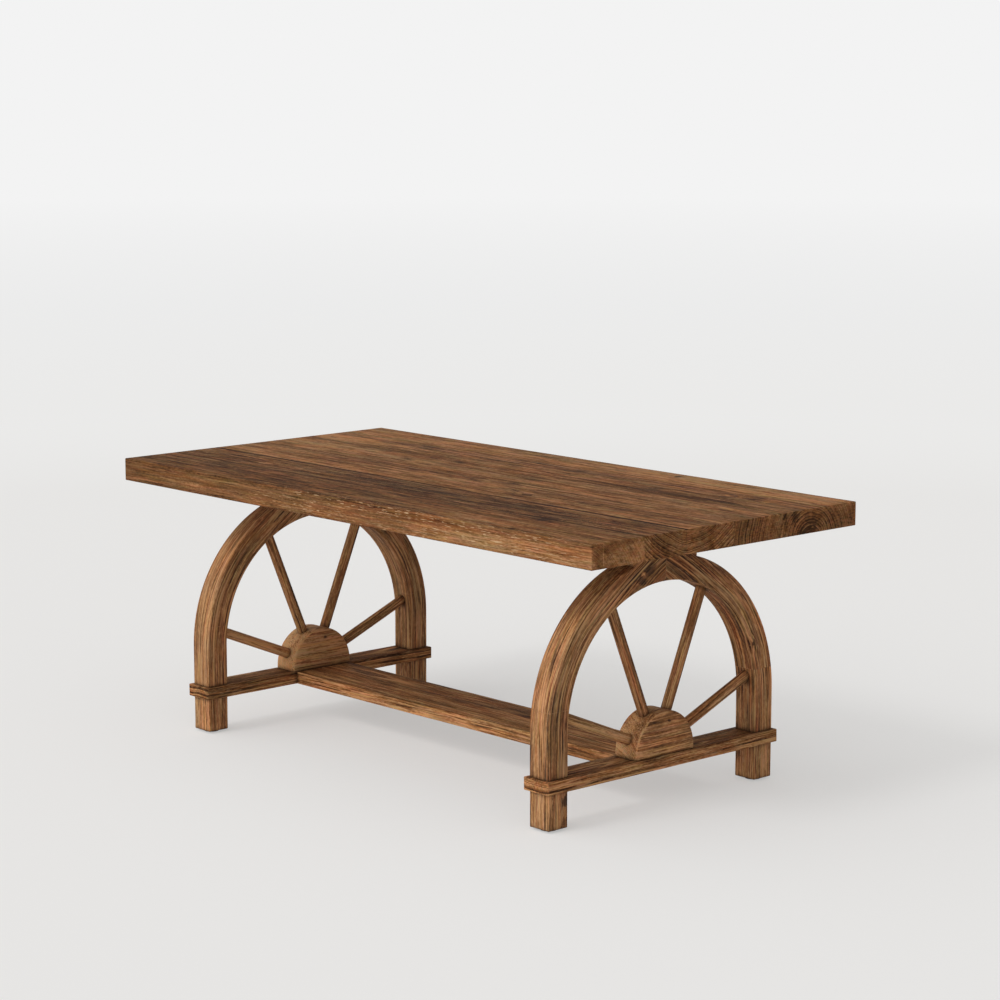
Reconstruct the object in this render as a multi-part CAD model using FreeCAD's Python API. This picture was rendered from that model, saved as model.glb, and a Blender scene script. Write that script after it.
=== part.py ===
import FreeCAD, Part
import math
import os

# Rustic coffee table: a planked top on two half wagon wheels that a flat stretcher ties together.
# Lengths are in millimetres. X runs along the top, Y across it and Z up.
# The origin is on the floor under the middle of the top. Right is +X, and back is +Y.

Vector = FreeCAD.Vector

# Top
top_length = 1200.0
top_width = 600.0
top_thickness = 40.0
top_arris = 1.5
board_width_shares = (0.187, 0.152, 0.178, 0.177, 0.163, 0.143)

# Loose tongues in the glued edges between the boards, stopped short of the ends
tongue_width = 24.0
tongue_thickness = 10.0
tongue_end_margin = 60.0

# Arch frames: posts and felloes of one section, a half circle on straight posts
frame_inset = 160.0
member_depth = 44.5
member_width = 42.0
member_arris = 1.5
arch_outer_radius = 256.5
post_straight_height = 70.0
post_joint_margin = 1.8
crown_pad_width = 144.0
crown_pad_rise = 30.5

# Loose tenons between felloe and post, and across the mitre at the crown
felloe_tenon_length = 50.0
felloe_tenon_width = 28.0
felloe_tenon_thickness = 10.0
crown_tenon_length = 50.0
crown_tenon_width = 36.0
crown_tenon_thickness = 12.0

# Cross rails, proud of the posts by the same overhang on every side
rail_thickness = 22.0
rail_overhang = 6.5
rail_arris = 1.5

# Tenon of a post, through the rail and into the foot block
leg_tenon_width = 22.0
leg_tenon_depth = 24.0
leg_tenon_grip = 30.0

# Foot blocks and glides
foot_height = 60.0
foot_chamfer = 1.2
glide_diameter = 27.0
glide_thickness = 3.0

# Hubs: half discs on a short straight skirt
hub_radius = 67.0
hub_depth = 50.0
hub_skirt = 5.0
hub_arris = 2.5
hub_tenon_length = 11.0
hub_tenon_width = 70.0
hub_tenon_thickness = 16.0

# Spokes: round bars, let into holes in the hub and in the arch
wheel_spokes = 8
spoke_diameter = 18.0
spoke_hub_depth = 16.0
spoke_arch_depth = 8.0

# Stretcher between the rails
stretcher_width = 124.0
stub_tenon_length = 16.0
stub_tenon_width = 96.0
stub_tenon_thickness = 8.0

# Flanged hexagon wood screws, from the soffit of the crown up into the top
screw_diameter = 8.0
screw_length = 80.0
screw_reach = 24.0
screw_head_width = 12.0
screw_head_height = 6.0
screw_flange_diameter = 18.0
screw_flange_thickness = 1.8
screw_inset = 24.0

# Clearances
joint_clearance = 0.15
screw_clearance = 0.5
thread_clearance = 0.1
counterbore_clearance = 1.0
end_gap = 1.0
overrun = 5.0
match = 0.001

# Heights, from the floor up
rail_bottom = glide_thickness + foot_height
rail_top = rail_bottom + rail_thickness
hub_centre_height = rail_top + hub_skirt
springing_height = rail_top + post_straight_height
arch_inner_radius = arch_outer_radius - member_width
member_middle_radius = arch_outer_radius - member_width / 2
top_underside = springing_height + arch_outer_radius + crown_pad_rise
top_height = top_underside + top_thickness

# Places along and across the frame
frame_spacing = top_length - 2 * frame_inset
post_middle = arch_outer_radius - member_width / 2
screw_place = crown_pad_width / 2 - screw_inset
rail_depth = member_depth + 2 * rail_overhang
rail_length = 2 * (arch_outer_radius + rail_overhang)

ends = {"left": -1, "right": 1}
sides = {"front": -1, "back": 1}


def block(centre_x, centre_y, bottom, size_x, size_y, size_z):
    corner = Vector(centre_x - size_x / 2, centre_y - size_y / 2, bottom)
    return Part.makeBox(size_x, size_y, size_z, corner)


def rod(start, direction, diameter, length):
    return Part.makeCylinder(diameter / 2, length, start, direction)


def upright_rod(x, y, bottom, diameter, length):
    return rod(Vector(x, y, bottom), Vector(0, 0, 1), diameter, length)


def profile_solid(edges, centre_x, depth):
    """Pushes an outline in the Y-Z plane out to a depth, half to each side of centre_x."""
    face = Part.Face(Part.Wire(edges))
    face.translate(Vector(centre_x - depth / 2, 0, 0))
    return face.extrude(Vector(depth, 0, 0))


def arch_point(radius, angle, side):
    """A point on a circle round the centre of the arch. The angle starts at the springing line."""
    across = side * radius * math.cos(angle)
    return Vector(0, across, springing_height + radius * math.sin(angle))


def arch_arc(radius, start_angle, end_angle, side):
    middle_angle = (start_angle + end_angle) / 2
    start = arch_point(radius, start_angle, side)
    middle = arch_point(radius, middle_angle, side)
    end = arch_point(radius, end_angle, side)
    return Part.Arc(start, middle, end).toShape()


def line(start, end):
    return Part.LineSegment(start, end).toShape()


def outline_edges(solid, centre_x, depth):
    """The edges round the two flat faces that a profile solid has at its ends."""
    found = []
    for edge in solid.Edges:
        offsets = [abs(abs(vertex.X - centre_x) - depth / 2) for vertex in edge.Vertexes]
        same_face = edge.BoundBox.XLength < match
        if same_face and max(offsets) < match:
            found.append(edge)
    return found


def level_edge(edge):
    return edge.BoundBox.ZLength < match


def frame_centre(end):
    return ends[end] * frame_spacing / 2


def spoke_angles():
    step = 2 * math.pi / wheel_spokes
    return [step * (number + 1 / 2) for number in range(wheel_spokes // 2)]


def spoke_reach(angle):
    """Distance from the centre of the hub to the inside of the arch, along a spoke."""
    drop = springing_height - hub_centre_height
    to_post = arch_inner_radius / abs(math.cos(angle))
    if to_post * math.sin(angle) <= drop:
        return to_post
    along = drop * math.sin(angle)
    return along + math.sqrt(along ** 2 - drop ** 2 + arch_inner_radius ** 2)


def post_joint_height():
    """Height of the joint of post and felloe, just clear of the socket of the lowest spoke."""
    angle = spoke_angles()[0]
    socket_end = spoke_reach(angle) + spoke_arch_depth + end_gap
    socket_radius = spoke_diameter / 2 + joint_clearance
    socket_top = hub_centre_height + socket_end * math.sin(angle) + socket_radius * math.cos(angle)
    return socket_top + post_joint_margin


def joint_angle(radius):
    """Angle of that joint on a circle round the centre of the arch."""
    return math.asin((post_joint_height() - springing_height) / radius)


def spoke_rod(end, angle, start, stop, diameter):
    direction = Vector(0, math.cos(angle), math.sin(angle))
    centre = Vector(frame_centre(end), 0, hub_centre_height)
    return rod(centre + direction * start, direction, diameter, stop - start)


def spoke_holes(end):
    """Round holes that take the ends of all spokes of one arch, in the hub and in the arch."""
    holes = []
    diameter = spoke_diameter + 2 * joint_clearance
    for angle in spoke_angles():
        start = hub_radius - spoke_hub_depth - end_gap
        stop = spoke_reach(angle) + spoke_arch_depth + end_gap
        holes.append(spoke_rod(end, angle, start, stop, diameter))
    return Part.makeCompound(holes)


def felloe_tenon(end, side, clearance, extra_length):
    """A loose tenon across the joint of felloe and post, or with a clearance its mortise."""
    length = felloe_tenon_length + 2 * extra_length
    width = felloe_tenon_width + 2 * clearance
    thickness = felloe_tenon_thickness + 2 * clearance
    bottom = post_joint_height() - length / 2
    return block(frame_centre(end), sides[side] * post_middle, bottom, width, thickness, length)


def crown_tenon(end, clearance, extra_length):
    """A loose tenon across the mitre at the crown, or with a clearance its mortise."""
    length = crown_tenon_length + 2 * extra_length
    width = crown_tenon_width + 2 * clearance
    thickness = crown_tenon_thickness + 2 * clearance
    middle = (springing_height + arch_inner_radius + top_underside) / 2
    return block(frame_centre(end), 0, middle - width / 2, thickness, length, width)


def crown_screw_holes(end, side):
    """The hole for a crown screw, with the counterbore that hides its head and flange."""
    x = frame_centre(end)
    y = sides[side] * screw_place
    seat = top_underside + screw_reach - screw_length
    hole_diameter = screw_diameter + 2 * screw_clearance
    hole = upright_rod(x, y, seat - overrun, hole_diameter, top_underside - seat + 2 * overrun)
    bore_bottom = springing_height + arch_inner_radius * math.sin(math.pi / 4)
    bore_diameter = screw_flange_diameter + 2 * counterbore_clearance
    bore = upright_rod(x, y, bore_bottom, bore_diameter, seat - bore_bottom)
    return hole.fuse(bore)


def leg_tenon(end, side, clearance, extra_depth):
    """The tenon of a post, or with a clearance the mortise that it drops into."""
    x = frame_centre(end)
    y = sides[side] * post_middle
    bottom = rail_bottom - leg_tenon_grip - extra_depth
    size_x = leg_tenon_depth + 2 * clearance
    size_y = leg_tenon_width + 2 * clearance
    return block(x, y, bottom, size_x, size_y, rail_top - bottom)


def stub_tenon(end, clearance, extra_length):
    """The stub tenon at one end of the stretcher, or with a clearance its mortise in the rail."""
    shoulder = frame_spacing / 2 - rail_depth / 2
    length = stub_tenon_length + extra_length
    width = stub_tenon_width + 2 * clearance
    thickness = stub_tenon_thickness + 2 * clearance
    bottom = (rail_bottom + rail_top) / 2 - thickness / 2
    return block(ends[end] * (shoulder + length / 2), 0, bottom, length, width, thickness)


def board_edges():
    """Places across the top of the outer edges and the glued edges between the boards."""
    places = [-top_width / 2]
    for share in board_width_shares:
        places.append(places[-1] + share * top_width)
    return places


def tongues(clearance, extra_length):
    """Loose tongues in the edges between the boards, or with a clearance their grooves."""
    length = top_length - 2 * (tongue_end_margin - extra_length)
    width = tongue_width + 2 * extra_length
    thickness = tongue_thickness + 2 * clearance
    bottom = top_underside + top_thickness / 2 - thickness / 2
    return Part.makeCompound([block(0, seam, bottom, length, width, thickness) for seam in board_edges()[1:-1]])


def screw_places():
    return [(frame_centre(end), sides[side] * screw_place) for end in ends for side in sides]


def screw_rods(bottom, diameter, length):
    return Part.makeCompound([upright_rod(x, y, bottom, diameter, length) for x, y in screw_places()])


def outer_board_edge(edge):
    """True for the edges of a board that lie on the outside of the whole top."""
    box = edge.BoundBox
    at_end = box.XLength < match
    at_front = box.YMax < -top_width / 2 + match
    at_back = box.YMin > top_width / 2 - match
    between_boards = box.YLength < match and not (at_front or at_back)
    return (at_end and not between_boards) or at_front or at_back


def make_top_board(front, back):
    """One lengthwise board, with eased outer edges, grooves for the tongues and pilot holes."""
    board = block(0, (front + back) / 2, top_underside, top_length, back - front, top_thickness)
    board = board.makeChamfer(top_arris, [edge for edge in board.Edges if outer_board_edge(edge)])
    board = board.cut(tongues(joint_clearance, end_gap))
    pilot_diameter = screw_diameter + 2 * thread_clearance
    return board.cut(screw_rods(top_underside, pilot_diameter, screw_reach + end_gap))


def make_felloe(end, side):
    """A curved quarter of the arch rim, sawn from the plank, with its half of the crown pad."""
    x = frame_centre(end)
    sign = sides[side]
    outer = arch_arc(arch_outer_radius, joint_angle(arch_outer_radius), math.pi / 2, sign)
    inner = arch_arc(arch_inner_radius, joint_angle(arch_inner_radius), math.pi / 2, sign)
    foot_line = line(arch_point(arch_inner_radius, joint_angle(arch_inner_radius), sign),
                     arch_point(arch_outer_radius, joint_angle(arch_outer_radius), sign))
    crown_line = line(arch_point(arch_inner_radius, math.pi / 2, sign),
                      arch_point(arch_outer_radius, math.pi / 2, sign))
    rim = profile_solid(Part.sortEdges([outer, inner, foot_line, crown_line])[0], x, member_depth)
    curves = [edge for edge in outline_edges(rim, x, member_depth) if edge.Curve.TypeId == "Part::GeomCircle"]
    rim = rim.makeChamfer(member_arris, curves)
    pad_bottom = springing_height + member_middle_radius
    pad_width = crown_pad_width / 2
    pad = block(x, sign * pad_width / 2, pad_bottom, member_depth, pad_width, top_underside - pad_bottom)
    far_y = sign * pad_width
    corners = [edge for edge in pad.Edges if abs(edge.BoundBox.Center.y - far_y) < match and not level_edge(edge)]
    pad = pad.makeChamfer(member_arris, corners)
    felloe = rim.fuse(pad).removeSplitter()
    felloe = felloe.cut(spoke_holes(end))
    felloe = felloe.cut(felloe_tenon(end, side, joint_clearance, end_gap))
    felloe = felloe.cut(crown_tenon(end, joint_clearance, end_gap))
    return felloe.cut(crown_screw_holes(end, side))


def make_post(end, side):
    """A straight post that follows the start of the curve, with its tenon at the bottom."""
    x = frame_centre(end)
    sign = sides[side]
    edges = []
    for radius in (arch_inner_radius, arch_outer_radius):
        edges.append(line(Vector(0, sign * radius, rail_top), arch_point(radius, 0, sign)))
        edges.append(arch_arc(radius, 0, joint_angle(radius), sign))
    edges.append(line(Vector(0, sign * arch_inner_radius, rail_top), Vector(0, sign * arch_outer_radius, rail_top)))
    edges.append(line(arch_point(arch_inner_radius, joint_angle(arch_inner_radius), sign),
                      arch_point(arch_outer_radius, joint_angle(arch_outer_radius), sign)))
    body = profile_solid(Part.sortEdges(edges)[0], x, member_depth)
    arrises = [edge for edge in outline_edges(body, x, member_depth) if not level_edge(edge)]
    body = body.makeChamfer(member_arris, arrises)
    post = body.fuse(leg_tenon(end, side, 0, 0)).removeSplitter()
    post = post.cut(spoke_holes(end))
    return post.cut(felloe_tenon(end, side, joint_clearance, end_gap))


def make_rail(end):
    """A flat rail that carries the posts and the hub, with mortises for posts and stretcher."""
    x = frame_centre(end)
    rail = block(x, 0, rail_bottom, rail_depth, rail_length, rail_thickness)
    rail = rail.makeChamfer(rail_arris, rail.Edges)
    for side in sides:
        rail = rail.cut(leg_tenon(end, side, joint_clearance, 0))
    rail = rail.cut(hub_tenon(end, joint_clearance, end_gap))
    return rail.cut(stub_tenon(end, joint_clearance, end_gap))


def make_foot(end, side):
    """A block under the rail, in line with the post."""
    x = frame_centre(end)
    y = sides[side] * post_middle
    foot = block(x, y, glide_thickness, member_depth, member_width, foot_height)
    arrises = [edge for edge in foot.Edges if not level_edge(edge)]
    foot = foot.makeChamfer(member_arris, arrises)
    lowest = [edge for edge in foot.Edges if edge.BoundBox.ZMax < glide_thickness + match]
    foot = foot.makeChamfer(foot_chamfer, lowest)
    return foot.cut(leg_tenon(end, side, joint_clearance, end_gap))


def make_glides():
    """Round glides glued under the feet."""
    glides = []
    for end in ends:
        for side in sides:
            glides.append(upright_rod(frame_centre(end), sides[side] * post_middle, 0, glide_diameter, glide_thickness))
    return Part.makeCompound(glides)


def hub_tenon(end, clearance, extra_length):
    """The stub tenon under a hub, or with a clearance its mortise in the top of the rail."""
    length = hub_tenon_length + extra_length
    thickness = hub_tenon_thickness + 2 * clearance
    width = hub_tenon_width + 2 * clearance
    return block(frame_centre(end), 0, rail_top - length, thickness, width, length)


def make_hub(end):
    """A half disc on a short straight skirt, with eased rims, spoke holes and a stub tenon."""
    hub = hub_blank(end)
    rims = [edge for edge in outline_edges(hub, frame_centre(end), hub_depth) if not level_edge(edge)]
    hub = hub.makeChamfer(hub_arris, rims)
    hub = hub.fuse(hub_tenon(end, 0, 0)).removeSplitter()
    return hub.cut(spoke_holes(end))


def hub_blank(end):
    low_front = Vector(0, -hub_radius, rail_top)
    low_back = Vector(0, hub_radius, rail_top)
    high_front = Vector(0, -hub_radius, hub_centre_height)
    high_back = Vector(0, hub_radius, hub_centre_height)
    crown = Vector(0, 0, hub_centre_height + hub_radius)
    curve = Part.Arc(high_back, crown, high_front).toShape()
    edges = [line(low_front, low_back), line(low_back, high_back), curve, line(high_front, low_front)]
    return profile_solid(edges, frame_centre(end), hub_depth)


def make_spoke(end, angle):
    """A round bar from the bottom of its hole in the hub to the bottom of its hole in the arch."""
    start = hub_radius - spoke_hub_depth
    return spoke_rod(end, angle, start, spoke_reach(angle) + spoke_arch_depth, spoke_diameter)


def make_stretcher():
    """A flat board between the rails, flush with them, with a stub tenon at both ends."""
    length = frame_spacing - rail_depth
    board = block(0, 0, rail_bottom, length, stretcher_width, rail_thickness)
    long_edges = [edge for edge in board.Edges if edge.BoundBox.XLength > length - match]
    stretcher = board.makeChamfer(rail_arris, long_edges)
    for end in ends:
        stretcher = stretcher.fuse(stub_tenon(end, 0, 0))
    return stretcher.removeSplitter()


def hexagon_bar(x, y, bottom, width, height):
    """An upright hexagon bar, measured across its flats."""
    corner_radius = width / 2 / math.cos(math.pi / 6)
    corners = []
    for number in range(7):
        angle = number * math.pi / 3
        corner = Vector(x + corner_radius * math.cos(angle), y + corner_radius * math.sin(angle), bottom)
        corners.append(corner)
    return Part.Face(Part.makePolygon(corners)).extrude(Vector(0, 0, height))


def make_crown_screws():
    """Four flanged hexagon screws, two up through each crown."""
    screws = []
    seat = top_underside + screw_reach - screw_length
    for x, y in screw_places():
        flange = upright_rod(x, y, seat - screw_flange_thickness, screw_flange_diameter, screw_flange_thickness)
        shank = upright_rod(x, y, seat, screw_diameter, screw_length)
        head_bottom = seat - screw_head_height
        head = hexagon_bar(x, y, head_bottom, screw_head_width, screw_head_height - screw_flange_thickness)
        screws.append(shank.fuse([flange, head]).removeSplitter())
    return Part.makeCompound(screws)


def each_joint(make_piece):
    return Part.makeCompound([make_piece(end, side) for end in ends for side in sides])


def make_parts():
    parts = {}
    places = board_edges()
    for number in range(len(board_width_shares)):
        parts["top_board_" + str(number + 1)] = make_top_board(places[number], places[number + 1])
    for end in ends:
        for side in sides:
            parts["felloe_" + end + "_" + side] = make_felloe(end, side)
            parts["post_" + end + "_" + side] = make_post(end, side)
            parts["foot_" + end + "_" + side] = make_foot(end, side)
        parts["rail_" + end] = make_rail(end)
        parts["hub_" + end] = make_hub(end)
        for number, angle in enumerate(spoke_angles()):
            parts["spoke_" + end + "_" + str(number + 1)] = make_spoke(end, angle)
    parts["stretcher"] = make_stretcher()
    parts["top_tongues"] = tongues(0, 0)
    parts["felloe_tenons"] = each_joint(lambda end, side: felloe_tenon(end, side, 0, 0))
    parts["crown_tenons"] = Part.makeCompound([crown_tenon(end, 0, 0) for end in ends])
    parts["crown_screws"] = make_crown_screws()
    parts["glides"] = make_glides()
    return parts


os.makedirs("parts", exist_ok=True)
for name, shape in make_parts().items():
    solids = Part.makeCompound(shape.Solids) if len(shape.Solids) > 1 else shape.Solids[0]
    solids.exportStep("parts/" + name + ".step")
    print(name, "solids", len(solids.Solids), "valid", solids.isValid(), "volume", round(solids.Volume))
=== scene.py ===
import math

import bpy
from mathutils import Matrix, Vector


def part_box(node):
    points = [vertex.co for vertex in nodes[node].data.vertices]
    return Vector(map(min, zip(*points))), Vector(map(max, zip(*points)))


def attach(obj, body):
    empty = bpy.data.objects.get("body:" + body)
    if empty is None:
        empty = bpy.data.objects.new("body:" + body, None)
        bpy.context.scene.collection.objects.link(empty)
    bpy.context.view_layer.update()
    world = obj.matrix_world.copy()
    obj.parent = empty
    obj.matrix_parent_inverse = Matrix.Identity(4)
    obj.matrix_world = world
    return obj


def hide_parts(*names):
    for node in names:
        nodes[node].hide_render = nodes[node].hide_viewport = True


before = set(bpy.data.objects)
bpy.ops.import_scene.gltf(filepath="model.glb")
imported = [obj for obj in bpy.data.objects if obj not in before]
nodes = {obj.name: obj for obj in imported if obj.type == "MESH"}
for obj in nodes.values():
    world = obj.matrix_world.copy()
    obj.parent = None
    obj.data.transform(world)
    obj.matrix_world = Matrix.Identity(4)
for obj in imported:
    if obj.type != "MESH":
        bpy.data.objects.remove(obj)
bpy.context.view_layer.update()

# Top boards
# Six planks of reclaimed pine, edge-glued into one thick slab and wire-brushed, so the hard rings stand
# proud. The front one, the next two and the back three come from three trees, each with its own heart.


def add(tree, kind, links=(), **settings):
    """Adds a shader node. Settings named like sockets set their values, and links feed its inputs."""
    made = tree.nodes.new(kind)
    for name, value in settings.items():
        if hasattr(made, name):
            setattr(made, name, value)
        else:
            made.inputs[name.replace("_", " ")].default_value = value
    for socket, source in dict(links).items():
        tree.links.new(source, made.inputs[socket])
    return made


def maths(tree, operation, first, second=None, third=None):
    made = tree.nodes.new("ShaderNodeMath")
    made.operation = operation
    for place, value in enumerate((first, second, third)):
        if value is None:
            continue
        if isinstance(value, (int, float)):
            made.inputs[place].default_value = value
        else:
            tree.links.new(value, made.inputs[place])
    return made.outputs[0]


def times(tree, first, second):
    return maths(tree, "MULTIPLY", first, second)


def vector_maths(tree, operation, first, second=None, scale=None):
    made = tree.nodes.new("ShaderNodeVectorMath")
    made.operation = operation
    for place, value in enumerate((first, second)):
        if value is None:
            continue
        if isinstance(value, (tuple, list)):
            made.inputs[place].default_value = value
        else:
            tree.links.new(value, made.inputs[place])
    if scale is not None:
        if isinstance(scale, (int, float)):
            made.inputs["Scale"].default_value = scale
        else:
            tree.links.new(scale, made.inputs["Scale"])
    return made.outputs["Value"] if operation in ("LENGTH", "DOT_PRODUCT") else made.outputs[0]


def spread(tree, value, low, high, out_low=0.0, out_high=1.0, smooth=True):
    """Maps a value from one span to another, with soft ends."""
    made = tree.nodes.new("ShaderNodeMapRange")
    made.interpolation_type = "SMOOTHSTEP" if smooth else "LINEAR"
    made.inputs["From Min"].default_value = low
    made.inputs["From Max"].default_value = high
    made.inputs["To Min"].default_value = out_low
    made.inputs["To Max"].default_value = out_high
    tree.links.new(value, made.inputs["Value"])
    return made.outputs["Result"]


def blend(tree, amount, first, second, mode="MIX"):
    made = tree.nodes.new("ShaderNodeMix")
    made.data_type = "RGBA"
    made.blend_type = mode
    for socket, value in ((0, amount), (6, first), (7, second)):
        if isinstance(value, (int, float, tuple, list)):
            made.inputs[socket].default_value = value
        else:
            tree.links.new(value, made.inputs[socket])
    return made.outputs[2]


def streaks(tree, place, size, detail=2.0, roughness=0.5, colour=False):
    """Noise whose patches have the given size in metres along and across the grain."""
    scaled = vector_maths(tree, "MULTIPLY", place, (1 / size[0], 1 / size[1], 1 / size[1]))
    noise = add(tree, "ShaderNodeTexNoise", {"Vector": scaled}, Scale=1.0, Detail=detail, Roughness=roughness)
    return noise.outputs["Color" if colour else "Fac"]


def wander(tree, place, size, detail=2.0):
    """A small shift, to either side of nothing, that changes from place to place."""
    noise = streaks(tree, place, size, detail, colour=True)
    return vector_maths(tree, "SUBTRACT", noise, (0.5, 0.5, 0.5))


def elsewhere(tree, place, offset):
    """The same place in another part of the noise, so that two patterns don't fall together."""
    return vector_maths(tree, "ADD", place, offset)


def new_group(name, inputs, outputs):
    group = bpy.data.node_groups.new(name, "ShaderNodeTree")
    for socket_name, socket_type, value in inputs:
        socket = group.interface.new_socket(socket_name, in_out="INPUT", socket_type=socket_type)
        if value is not None:
            socket.default_value = value
    for socket_name, socket_type in outputs:
        group.interface.new_socket(socket_name, in_out="OUTPUT", socket_type=socket_type)
    return group, group.nodes.new("NodeGroupInput"), group.nodes.new("NodeGroupOutput")


def build_timber_group():
    """Brushed softwood. The vector runs along the grain in X, and the heart of the tree is its X axis."""
    group, given, result = new_group("Timber", (
        ("Vector", "NodeSocketVector", None),
        ("Grain Axis", "NodeSocketVector", None),
        ("Seed", "NodeSocketFloat", 0.0),
        ("Ring Width", "NodeSocketFloat", 0.005),
        ("Ring Contrast", "NodeSocketFloat", 0.8),
        ("Grain Contrast", "NodeSocketFloat", 1.0),
        ("Waviness", "NodeSocketFloat", 0.02),
        ("Darkness", "NodeSocketFloat", 0.0),
        ("Streaks", "NodeSocketFloat", 0.5),
        ("Redness", "NodeSocketFloat", 0.4),
        ("Flecks", "NodeSocketFloat", 0.4),
        ("Ridges", "NodeSocketFloat", 0.5),
        ("Stretch", "NodeSocketVector", (1.0, 1.0, 1.0)),
        ("Swirl", "NodeSocketFloat", 0.0),
        ("Knots", "NodeSocketFloat", 0.0),
        ("Tone Patch", "NodeSocketFloat", 0.0),
        ("Light Wood", "NodeSocketColor", (0.5, 0.3, 0.15, 1.0)),
        ("Brown Wood", "NodeSocketColor", (0.2, 0.1, 0.045, 1.0)),
        ("Dark Wood", "NodeSocketColor", (0.05, 0.026, 0.013, 1.0)),
    ), (("Color", "NodeSocketColor"), ("Roughness", "NodeSocketFloat"), ("Height", "NodeSocketFloat")))
    place = given.outputs["Vector"]
    shift = vector_maths(group, "SCALE", (17.3, 5.1, 9.7), scale=given.outputs["Seed"])
    own = vector_maths(group, "ADD", place, shift)

    # The heart line wanders a little, and knots push the rings aside.
    slow_bend = vector_maths(group, "SCALE", wander(group, own, (0.9, 0.16)), scale=given.outputs["Waviness"])
    quick_bend = vector_maths(group, "SCALE", wander(group, own, (0.12, 0.03)), scale=0.004)
    bent = vector_maths(group, "ADD", vector_maths(group, "ADD", place, slow_bend), quick_bend)
    across = vector_maths(group, "MULTIPLY", bent, (0.0, 1.0, 1.0))
    radius = maths(group, "ADD", vector_maths(group, "LENGTH", across), given.outputs["Swirl"])

    # Each ring starts pale and darkens to a thin hard line, and no two are alike.
    rings = maths(group, "DIVIDE", radius, given.outputs["Ring Width"])
    uneven = add(group, "ShaderNodeTexNoise", {"W": times(group, radius, 70.0)},
                 noise_dimensions="1D", Scale=1.0, Detail=2.0)
    rings = maths(group, "ADD", rings, times(group, uneven.outputs["Fac"], 3.0))
    phase = maths(group, "FRACT", rings)
    late_wood = times(group, spread(group, phase, 0.42, 0.85), spread(group, phase, 0.92, 1.0, 1.0, 0.0))
    each_ring = add(group, "ShaderNodeTexNoise", {"W": rings}, noise_dimensions="1D", Scale=0.9, Detail=2.0)
    broken = spread(group, streaks(group, own, (0.18, 0.008), 3, 0.6), 0.32, 0.62, 0.15, 1.0)

    # End grain shows whole rings and hardly any streaks.
    normal = add(group, "ShaderNodeNewGeometry").outputs["True Normal"]
    facing = maths(group, "ABSOLUTE", vector_maths(group, "DOT_PRODUCT", normal, given.outputs["Grain Axis"]))
    end_grain = spread(group, facing, 0.75, 0.95)
    long_grain = maths(group, "MULTIPLY_ADD", end_grain, -0.75, 1.0)

    ring_tone = maths(group, "MULTIPLY_ADD", late_wood, 0.75, -0.28)
    own_tone = spread(group, each_ring.outputs["Fac"], 0.3, 0.7, -0.25, 0.25, False)
    ring_tone = maths(group, "ADD", ring_tone, own_tone)
    ring_tone = times(group, ring_tone, maths(group, "MAXIMUM", broken, end_grain))
    ring_tone = times(group, ring_tone, maths(group, "MULTIPLY_ADD", end_grain, 0.15, 1.0))
    ring_tone = times(group, ring_tone, given.outputs["Ring Contrast"])

    # Streaks along the grain, from hair lines to broad bands, with a few darker lines that come and go.
    bent_own = vector_maths(group, "ADD", own, quick_bend)
    figured = vector_maths(group, "MULTIPLY", bent_own, given.outputs["Stretch"])
    fine = streaks(group, figured, (0.055, 0.0018), 2, 0.55)
    medium = streaks(group, figured, (0.09, 0.0036), 3, 0.55)
    rough = streaks(group, figured, (0.0075, 0.0024), 2, 0.6)
    wide = streaks(group, own, (0.30, 0.014), 3, 0.6)
    broad = streaks(group, own, (0.6, 0.08), 2, 0.5)
    lines = streaks(group, elsewhere(group, figured, (4.4, 8.1, 2.7)), (0.16, 0.0030), 2, 0.45)
    grain_tone = spread(group, medium, 0.3, 0.7, -0.13, 0.13, False)
    grain_tone = maths(group, "ADD", grain_tone, spread(group, fine, 0.3, 0.7, -0.38, 0.38, False))
    grain_tone = maths(group, "ADD", grain_tone, spread(group, wide, 0.25, 0.75, -0.14, 0.14, False))
    grain_tone = maths(group, "ADD", grain_tone, spread(group, lines, 0.30, 0.42, 0.28, 0.0))
    grain_tone = maths(group, "ADD", grain_tone, spread(group, lines, 0.58, 0.68, 0.0, -0.2))
    dark_lines = streaks(group, elsewhere(group, figured, (2.2, 9.4, 4.6)), (0.20, 0.0064), 2, 0.4)
    dark_lines = maths(group, "ABSOLUTE", maths(group, "SUBTRACT", dark_lines, 0.5))
    some_lines = spread(group, streaks(group, own, (0.25, 0.03), 2), 0.4, 0.6, 0.2, 1.0)
    dark_lines = times(group, spread(group, dark_lines, 0.010, 0.060, 0.36, 0.0), some_lines)
    grain_tone = maths(group, "ADD", grain_tone, dark_lines)
    figure = streaks(group, elsewhere(group, own, (6.1, 3.3, 1.2)), (0.055, 0.016), 3, 0.55)
    grain_tone = maths(group, "ADD", grain_tone, spread(group, figure, 0.3, 0.7, -0.09, 0.09, False))
    grain_tone = times(group, grain_tone, long_grain)
    grain_tone = times(group, grain_tone, given.outputs["Grain Contrast"])

    # All of it together runs from light wood over brown to dark.
    tone = maths(group, "ADD", ring_tone, grain_tone)
    tone = maths(group, "ADD", tone, spread(group, rough, 0.3, 0.7, -0.22, 0.22, False))
    tone = maths(group, "ADD", tone, spread(group, broad, 0.3, 0.7, -0.16, 0.16, False))
    tone = maths(group, "MULTIPLY_ADD", end_grain, 0.08, maths(group, "ADD", tone, 0.39))
    tone = maths(group, "ADD", tone, given.outputs["Darkness"])
    # Tone patches add stained patches, and on some pieces painted light and shade.
    tone = maths(group, "ADD", tone, given.outputs["Tone Patch"])
    lower = spread(group, tone, -0.15, 0.5)
    upper = spread(group, tone, 0.42, 1.15)
    colour = blend(group, lower, given.outputs["Light Wood"], given.outputs["Brown Wood"])
    colour = blend(group, upper, colour, given.outputs["Dark Wood"])

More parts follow.
